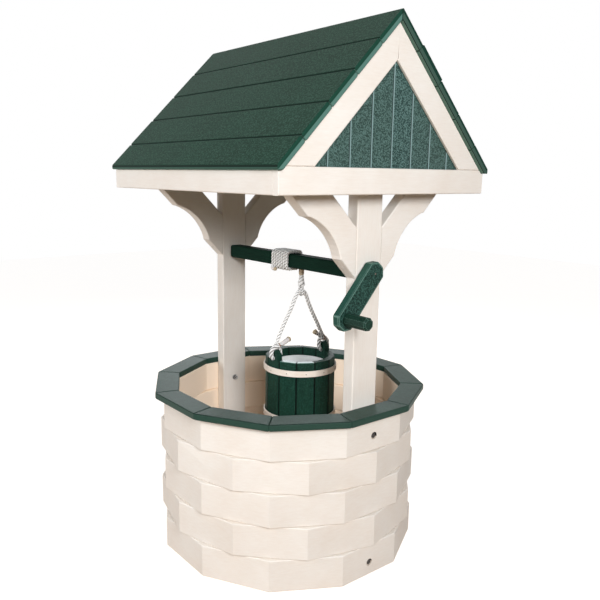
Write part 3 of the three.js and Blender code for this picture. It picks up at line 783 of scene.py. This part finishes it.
# What closes the mitre where two rake boards meet, set just behind their faces
puttyValues = {
    "half": 1.5 * mm,
    "low": 1319 * mm,
    "high": 1399 * mm,
    "face": 391.6 * mm,
    "sunk": 0.3 * mm,
    "deep": 8 * mm,
}


def mitrePutty(v):
    half, low, high = v["half"], v["low"], v["high"]
    outline = [(-half, low), (half, low), (half, high), (-half, high)]
    front, back = v["face"] - v["sunk"], v["face"] - v["deep"]
    for side, (fromX, toX) in (("right", (back, front)), ("left", (-front, -back))):
        putty = prism(f"mitre_putty_{side}", outline, fromX, toX, looks["creamY"])
        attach(putty, "well")


for side in ("front", "back"):
    for index in range(roofBoardValues["count"]):
        roofBoard(side, index, roofBoardValues)
mitrePutty(puttyValues)
print("roof laid")


domeValues = {
    "sunk": 0.4 * mm,
    "rise": [0.45, 0.85, 1],  # shares of the height, and of the radius from the foot up
    "radius": [1, 1, 0.82, 0.4],
    "sides": 14,
}


def buttons(name, places, radius, height, look, slot, body):
    # low domed heads in one mesh; each place is a point and the way it faces
    v, points, faces = domeValues, [], []
    rise = np.array([-v["sunk"], *(share * height for share in v["rise"])])
    for place, facing in places:
        path = np.array(place) + rise[:, None] * unit(np.array(facing, float))
        faces += tubeFaces(len(rise), v["sides"], len(points))
        points += list(sweepTube(path, radius * np.array(v["radius"]), v["sides"]))
    piece = addMesh(name, points, faces, look)
    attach(piece, body)
    return piece


boreValues = {
    "face": 360.3 * mm,
    "radius": 9.6 * mm,
    "headRadius": 7.6 * mm,
    "depth": 7.4 * mm,
    "thickness": 0.3 * mm,
    "litBelow": {36 * mm: 1.5 * mm, 395 * mm: -3 * mm},  # by a hole's height, where its painted light ends, from its middle up
    "sides": 24,
}


def boreShadingSheets(v):
    # a thin sheet inside the holes that the bolt heads sit in, with painted light below and painted shade
    # above
    points, faces, lit, sides = [], [], [], v["sides"]
    turn = np.linspace(0, 2 * np.pi, sides, endpoint=False)
    rim, floor, thick = v["radius"], v["depth"], v["thickness"]
    profile = [(rim, thick), (rim - thick, thick), (rim - thick, floor - thick),
               (v["headRadius"], floor - thick), (v["headRadius"], floor), (rim, floor)]
    rings = len(profile)
    for side in (1, -1):
        for z, litBelow in v["litBelow"].items():
            first = len(points)
            for radius, depth in profile:
                x = axisX + side * (v["face"] - depth)
                points += [(x, radius * math.cos(t), z + radius * math.sin(t)) for t in turn]
                lit += [float(radius * math.sin(t) < litBelow) for t in turn]
            for i in range(rings):
                for k in range(sides):
                    near, far = first + i * sides, first + (i + 1) % rings * sides
                    face = (near + k, near + (k + 1) % sides, far + (k + 1) % sides, far + k)
                    faces.append(face if side > 0 else face[::-1])
    shadeSheet = addMesh("bore_shading_sheets", points, faces, looks["hole"], smooth=False)
    shadeSheet.data.attributes.new("lit", "FLOAT", "POINT").data.foreach_set("value", lit)
    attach(shadeSheet, "well")


fittingValues = {
    "plugAcross": 300.7 * mm,
    "plugOut": 70.2 * mm,
    "plugHeight": 829.4 * mm,
    "plug": (5.5 * mm, 0.5 * mm),  # radius and height of each kind of head
    "nails": 12,
    "hoopRadius": 107.25 * mm,
    "hoopMiddles": (504.75 * mm, 365.75 * mm),
    "nail": (1.3 * mm, 0.4 * mm),
    "screwAt": (344.04 * mm, 0, 815 * mm),
    "screw": (2.6 * mm, 0.3 * mm),
}


def makeFittings(v):
    plugs = [((axisX + across * v["plugAcross"], out * v["plugOut"], v["plugHeight"]), (0, out, -1))
             for across in (-1, 1) for out in (-1, 1)]
    buttons("brace_plugs", plugs, *v["plug"], looks["plug"], "cream_boards", "well")
    nails = []
    for z in v["hoopMiddles"]:
        for t in np.radians(np.arange(v["nails"]) * 360 / v["nails"]):
            x, y = math.cos(t), math.sin(t)
            nails.append(((bucketX + v["hoopRadius"] * x, bucketY + v["hoopRadius"] * y, z), (x, y, 0)))
    buttons("hoop_nails", nails, *v["nail"], looks["nail"], "hoops", "bucket")
    x, y, z = v["screwAt"]
    buttons("arm_screw", [((axisX + x, y, z), (1, 0, 0))], *v["screw"], looks["nail"], "bolts", "winch")


boreShadingSheets(boreValues)
makeFittings(fittingValues)
print("fittings placed")


# How strands are laid round a path
strandValues = {
    "strands": 3,
    "sides": 12,
    "layShare": 2.8,  # one turn of the lay, in rope diameters
    "step": 1.8 * mm,
    "strandShare": 0.475,  # a strand's radius in rope radii
    "crowd": None,  # the way along which turns lie side by side
    "crowdShare": 0.16,  # how much of the rope's width gets painted shade from them, and how light it stays there
    "crowdLight": 0.25,
    "grooveFrom": 0.3,  # a strand is unshaded where it faces out, and painted shade darkens it from here towards a groove
    "grooveBlur": 0.32,
    "endRings": 3,
    "yarnTurns": 5,
    "yarnPitch": 3.2 * mm,
}


def laidRope(name, path, diameters, start=0.0, values=strandValues):
    # diameters: one, or some from end to end; start: how far the lay is turned
    path = spacedEvenly(path, values["step"])
    rings, sides = len(path), values["sides"]
    given = np.atleast_1d(np.asarray(diameters, float))
    radius = np.interp(np.linspace(0, 1, rings), np.linspace(0, 1, len(given)), given) / 2
    _, side, up = framesAlong(path)
    step = np.linalg.norm(np.diff(path, axis=0), axis=1)
    along = np.concatenate([[0], np.cumsum(step)])
    twist = np.concatenate([[0], np.cumsum(step / (values["layShare"] * (radius[1:] + radius[:-1])))])
    turn = np.linspace(0, 2 * np.pi, sides, endpoint=False)
    unshaded = np.clip((np.cos(turn) - values["grooveFrom"]) / values["grooveBlur"], 0, 1)
    points, faces, yarn, depth = [], [], [], []
    for strand in range(values["strands"]):
        angle = start + 2 * np.pi * (twist + strand / values["strands"])
        outward = np.cos(angle)[:, None] * side + np.sin(angle)[:, None] * up
        strandRadius = radius * values["strandShare"]
        centre = path + outward * (radius - strandRadius)[:, None]
        forward = unit(np.gradient(centre, axis=0))
        out = unit(outward - forward * (outward * forward).sum(1)[:, None])
        across = np.cross(forward, out)
        closing = np.ones(rings)
        for i in range(values["endRings"]):
            closing[i] = closing[-1 - i] = math.sin(math.pi / 2 * (i + 1) / (values["endRings"] + 1))
        ring = np.cos(turn)[None, :, None] * out[:, None] + np.sin(turn)[None, :, None] * across[:, None]
        points.append((centre[:, None] + ring * (strandRadius * closing)[:, None, None]).reshape(-1, 3))
        first = strand * rings * sides
        faces += tubeFaces(rings, sides, first)
        yarnTurn = values["yarnTurns"] * np.arange(sides + 1) / sides
        phase = 2 * np.pi * (along[:, None] / values["yarnPitch"] + yarnTurn)
        shade = np.repeat(unshaded[None], rings, axis=0)
        # painted shade where a turn lies against its neighbours
        if values["crowd"] is not None:
            reach = (outward * (radius - strandRadius)[:, None])[:, None] + ring * strandRadius[:, None, None]
            aside = np.abs(reach @ np.array(values["crowd"], float)) / radius[:, None]
            shade = shade * np.clip((1 - aside) / values["crowdShare"], values["crowdLight"], 1)
        shade = np.concatenate([shade, shade[:, :1]], axis=1)
        for rows, store in ((phase, yarn), (shade, depth)):
            low, high = rows[:-1], rows[1:]
            store.append(np.stack([low[:, :-1], low[:, 1:], high[:, 1:], high[:, :-1]], axis=2).reshape(-1))
            store.append(np.zeros(2 * sides))
    piece = addMesh(name, np.concatenate(points), faces, looks["rope"])
    for label, rows in (("yarn", yarn), ("depth", depth)):
        stored = piece.data.attributes.new(label, "FLOAT", "CORNER")
        stored.data.foreach_set("value", np.concatenate(rows))
    return piece


windingValues = {
    "dropX": 25 * mm,
    "turns": 6.5,
    "stepsPerTurn": 24,
    "offset": 24.65 * mm,  # from the bar's middle to the rope's, on a flat face
    "pitch": 10.7 * mm,
    "cornerRadius": 9 * mm,
    "leadShift": 1.5 * mm,
    "height": 815 * mm,
    "barHalf": 19.05 * mm,
    # the free end, from the last turn: across, out of the front face and down
    "tail": [(0, 0, 17), (0.6, 1.6, 21.5), (3.5, 3.8, 25.5), (8.5, 5.3, 27.5), (15.5, 5.8, 28)],
    "sleeve": 12 * mm,
    "sleeveWidth": 0.52,  # this and the next in rope diameters
    "endWidth": 0.85,
    "diameter": 10 * mm,
    "length": 1.22,
    "step": 1.8 * mm,
    "strands": {**strandValues, "layShare": 2.7, "strandShare": 0.53, "grooveFrom": 0.26,
                "crowd": (1, 0, 0)},
}


def windingPath(v):
    # up behind the bar, round it turn by turn, then the free end
    core = v["offset"] - v["cornerRadius"]
    path = [(v["dropX"], v["offset"], v["height"] - v["barHalf"]),
            (v["dropX"] - v["leadShift"] / 2, v["offset"], v["height"] - v["barHalf"] / 2)]
    for i in range(int(v["turns"] * v["stepsPerTurn"]) + 1):
        angle = 2 * math.pi * i / v["stepsPerTurn"]
        x, y = abs(math.cos(angle)), abs(math.sin(angle))
        radius = v["offset"] / max(x, y)
        if min(x, y) * radius > core:
            reach = core * (x + y)
            radius = reach + math.sqrt(reach**2 - 2 * core**2 + v["cornerRadius"] ** 2)
        path.append((v["dropX"] - v["leadShift"] - v["pitch"] * i / v["stepsPerTurn"],
                     radius * math.cos(angle), v["height"] + radius * math.sin(angle)))
    x, y, z = path[-1]
    path += [(x + across * mm, y - out * mm, z - down * mm) for across, out, down in v["tail"]]
    return np.array(path) + (axisX, 0, 0)


winding = windingValues
windingRoute = throughPoints(windingPath(winding), winding["step"])
ropeWinding = laidRope("rope_winding_laid", windingRoute, winding["diameter"], values=winding["strands"])
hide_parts("rope_winding")
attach(ropeWinding, "winch")


knobValues = {
    "along": [-3, 0, 1.5, 3.5, 5.5, 6.8, 7.4],  # in mm, past the rope's end
    "widths": [0.92, 1.04, 1.2, 1.27, 1.16, 0.8, 0.3],  # in rope diameters
    "sides": 18,
    "lobes": 3,
    "lobeDepth": 0.09,
}


def knob(name, place, direction, diameter):
    # the melted end of a rope: lobes that swell past the rope and close in a dome
    v = knobValues
    along = np.array(v["along"]) * mm
    widths = np.array(v["widths"]) * diameter / 2
    path = np.array(place) + along[:, None] * unit(np.array(direction, float))
    _, side, up = framesAlong(path)
    turn = np.linspace(0, 2 * np.pi, v["sides"], endpoint=False)
    lobes = 1 + v["lobeDepth"] * np.cos(v["lobes"] * turn)
    ring = np.cos(turn)[None, :, None] * side[:, None] + np.sin(turn)[None, :, None] * up[:, None]
    points = (path[:, None] + ring * (widths[:, None] * lobes)[:, :, None]).reshape(-1, 3)
    piece = addMesh(name, points, tubeFaces(len(along), v["sides"]), looks["ropeEnd"])
    smoothed = piece.modifiers.new("smoothed", "SUBSURF")
    smoothed.levels = smoothed.render_levels = 1
    return piece


tubeSides = 20
windingSleeve = plainTube("winding_sleeve", windingRoute[-int(winding["sleeve"] / winding["step"]):],
                          winding["sleeveWidth"] * winding["diameter"], tubeSides, looks["tape"])
windingEnd = knob("winding_melted_end", windingRoute[-1], windingRoute[-1] - windingRoute[-4],
                  winding["endWidth"] * winding["diameter"])
for piece in (windingSleeve, windingEnd):
    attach(piece, "winch")


# The spliced drop, taped at its top, and the eye at its foot
dropValues = {
    "foot": 739 * mm,
    "top": 795.6 * mm,
    "pathPoints": 12,
    "widths": [13.5, 14.5, 14.5, 14, 14, 15, 17, 19.5, 21.5, 20],  # in mm, from the top down
    "layShare": 1.75,
    "layStart": 0.6,
    "tapeFrom": 772 * mm,
    "tapeTo": 793.5 * mm,
    "tapeWidth": 15.6 * mm,
    "tapeShares": [0.9, 0.98, 1.0, 1.02, 1.0, 1.02, 0.99, 1.0, 0.97, 0.88],
    "eyeHeight": 724 * mm,
    "eyeRadius": 10.2 * mm,
    "eyeDiameter": 8 * mm,
    "eyeOpening": (-232, 52),  # in degrees
    "eyePoints": 30,
    "legAt": (3 * mm, 10 * mm),  # where its legs end: aside, and up from the drop's foot
    "step": 1.2 * mm,
}


def uprightPath(top, foot, count):
    return np.array([(bucketX, bucketY, z) for z in np.linspace(top, foot, count)])


def makeDrop(v):
    path = uprightPath(v["top"], v["foot"], v["pathPoints"])
    drop = laidRope("rope_drop_spliced", path, np.array(v["widths"]) * mm, v["layStart"],
                    values={**strandValues, "layShare": v["layShare"], "step": v["step"]})
    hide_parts("rope_drop")
    shares = np.array(v["tapeShares"])
    tape = plainTube("rope_drop_tape", uprightPath(v["tapeTo"], v["tapeFrom"], len(shares)),
                     v["tapeWidth"] / 2 * shares, tubeSides, looks["dropTape"])
    for piece in (drop, tape):
        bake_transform(piece)
    turn = np.radians(np.linspace(*v["eyeOpening"], v["eyePoints"]))
    ring = np.stack([bucketX + v["eyeRadius"] * np.cos(turn), np.full(len(turn), bucketY),
                     v["eyeHeight"] + v["eyeRadius"] * np.sin(turn)], axis=1)
    aside, up = v["legAt"]
    legs = [(bucketX + way * aside, bucketY, v["foot"] + up) for way in (-1, 1)]
    path = throughPoints(np.concatenate([legs[:1], ring, legs[1:]]), v["step"])
    eye = laidRope("rope_eye_laid", path, v["eyeDiameter"], values={**strandValues, "step": v["step"]})
    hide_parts("rope_eye")
    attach(eye, "rope_end")
    return drop, tape, eye


dropPieces = makeDrop(dropValues)


# The bail, a rope from ear to ear through the eye, knotted round each ear
bailValues = {
    "diameter": 12 * mm,
    "loopDiameter": 12.8 * mm,
    "strands": {**strandValues, "strandShare": 0.5, "grooveFrom": 0.14},
    # out from the bucket's axis, height and, where given, towards +X, in mm
    "eye": [(0, 724), (8, 722.3), (15.3, 716.6)],
    "run": {"front": [(21, 707.3), (27, 695.5), (40, 670.5), (54, 648), (67.5, 624), (79.5, 600),
                      (88.5, 580)],
            "back": [(20.5, 707), (27, 691), (38.9, 666.5), (51.5, 643.5), (64, 622), (73, 605), (81, 591),
                     (88.5, 578)]},
    "loop": {"front": [(86.5, 585), (92.5, 575), (99.5, 568.5), (104.6, 561.5), (106.6, 553), (105.2, 543.6),
                       (98, 538.3), (90, 537.7), (82, 538), (76.2, 541.4), (74.6, 549), (75.2, 557.5),
                       (78.6, 565), (84.5, 571.5), (91, 576)],
             "back": [(86, 583), (91.5, 575.5), (98, 571), (103.2, 565), (106, 556.5), (105.6, 547),
                      (103.8, 541.8), (98, 538.3), (90, 537.7), (82, 538.4), (76, 542), (73, 550),
                      (72, 560), (74, 569), (79, 576.5), (86, 581)]},
    "tail": {"front": [(98, 569.5, 2), (91.5, 573.6, 7), (84, 576.6, 8.5), (72, 580.6, 8), (61, 584.6, 7),
                       (50.5, 588.5, 6)],
             "back": [(91, 571, 3), (84.5, 574.5, 8), (77, 579, 8), (67, 586, 6.5), (54, 595.5, 5)]},
    "band": {"front": 0.3, "back": 0.22},  # where the binding is, as a share of the tail
    "bandWidths": [0.5, 0.56, 0.58, 0.58, 0.56, 0.5],  # in rope diameters
    "sleeve": {"front": 27 * mm, "back": 6 * mm},
    "sleeveWidth": 0.52,
    "sleeveWave": (0.012, 14),  # how high its waves are, and the last one's angle
    "fineStep": 0.5 * mm,
    "layStart": {"loop": 0.8, "tail": 0.3},
}


def bailPoints(rows, side):
    return np.array([(bucketX + sum(row[2:]) * mm, bucketY + side * row[0] * mm, row[1] * mm)
                     for row in rows])


def makeBail(v):
    run = np.concatenate([bailPoints(v["eye"] + v["run"]["front"], -1)[:0:-1],
                          bailPoints(v["eye"] + v["run"]["back"], 1)])
    path = throughPoints(run, strandValues["step"])
    bail = laidRope("bail_rope_laid", path, v["diameter"], values=v["strands"])
    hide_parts("bail_rope")
    extras, wide = [], v["loopDiameter"]
    for label, side in (("front", -1), ("back", 1)):
        loop = throughPoints(bailPoints(v["loop"][label], side), strandValues["step"])
        tail = throughPoints(bailPoints(v["tail"][label], side), strandValues["step"])
        fine = spacedEvenly(tail, v["fineStep"])
        sleeve = fine[-int(v["sleeve"][label] / v["fineStep"]):]
        wave, lastAngle = v["sleeveWave"]
        waves = v["sleeveWidth"] + wave * np.sin(np.linspace(0, lastAngle, len(sleeve)))
        bandWidths = np.array(v["bandWidths"])
        first = int(v["band"][label] * len(fine))
        band = fine[first:first + len(bandWidths)]
        extras += [
            laidRope(f"bail_loop_{label}", loop, wide, v["layStart"]["loop"]),
            laidRope(f"bail_tail_{label}", tail, wide, v["layStart"]["tail"]),
            plainTube(f"bail_sleeve_{label}", sleeve, waves * wide, tubeSides, looks["tape"]),
            plainTube(f"bail_band_{label}", band, bandWidths * wide, tubeSides, looks["binding"]),
            knob(f"bail_melted_end_{label}", tail[-1], tail[-1] - tail[-4], wide),
        ]
    for piece in [bail, *extras]:
        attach(piece, "bucket")


makeBail(bailValues)
print("ropes laid")


# Floor, background and lamps
studioValues = {
    "floorSide": 14,
    "floorColour": "b59d84",
    "floorGlow": 0.95,
    "floorRoughness": 0.9,
    "floorSpecular": 0.1,
    "tint": (0.97, 1.0, 1.05),
    "aim": (0, 0, 0.7),
    # power, size, azimuth, elevation, distance
    "lamps": {
        "left": (57, 1.2, -14, 13, 3.4),
        "right": (66, 0.8, 70, 19, 3.4),
        "middle": (22, 0.8, 58, 18, 3.4),
        "upper": (13, 1.2, 60, 35, 3.4),
        "behind": (26, 1.6, 236, 22, 3.4),
    },
}


def addLamp(name, power, size, azimuth, elevation, distance):
    data = bpy.data.lights.new(name, "AREA")
    data.energy, data.size, data.color = power, size, studioValues["tint"]
    lamp = bpy.data.objects.new(name, data)
    bpy.context.scene.collection.objects.link(lamp)
    back = directionOf(azimuth, elevation)
    lamp.location = Vector(studioValues["aim"]) + back * distance
    lamp.rotation_euler = back.to_track_quat("Z", "Y").to_euler()


def seenDirectly(look):
    # 1 for what the camera, a reflection or a glass sees, 0 for light that falls on the object
    rays = [look.node("ShaderNodeLightPath", output=kind)
            for kind in ("Is Camera Ray", "Is Glossy Ray", "Is Transmission Ray")]
    mirrored = look.node("ShaderNodeMath", {"operation": "MAXIMUM"}, {0: rays[1], 1: rays[2]})
    return look.node("ShaderNodeMath", {"operation": "MAXIMUM"}, {0: rays[0], 1: mirrored})


def makeFloor(v):
    look = Look("floorLook", {"Roughness": v["floorRoughness"], "Specular IOR Level": v["floorSpecular"],
                              "Base Color": fromHex(v["floorColour"]), "Emission Strength": v["floorGlow"]})
    look.feed(Emission_Color=look.ramp(seenDirectly(look), [(0, 0.0), (1, 1.0)]))
    half = v["floorSide"] / 2
    floor = addMesh("floor", [(-half, -half, 0), (half, -half, 0), (half, half, 0), (-half, half, 0)],
                    [(0, 1, 2, 3)], look.material, smooth=False)


def makeWorld():
    # white where it is seen, dark as a light
    world = bpy.data.worlds.new("studio")
    world.use_nodes = True
    bpy.context.scene.world = world
    look = Look.__new__(Look)
    look.tree = world.node_tree
    sky = look.tree.nodes["Background"]
    look.tree.links.new(seenDirectly(look).link, sky.inputs["Strength"])
    sky.inputs["Color"].default_value = fromHex("ffffff")


makeFloor(studioValues)
makeWorld()
for lampName, lampValues in studioValues["lamps"].items():
    addLamp(lampName, *lampValues)
bpy.context.scene.view_settings.view_transform = "Standard"
print("studio lit")
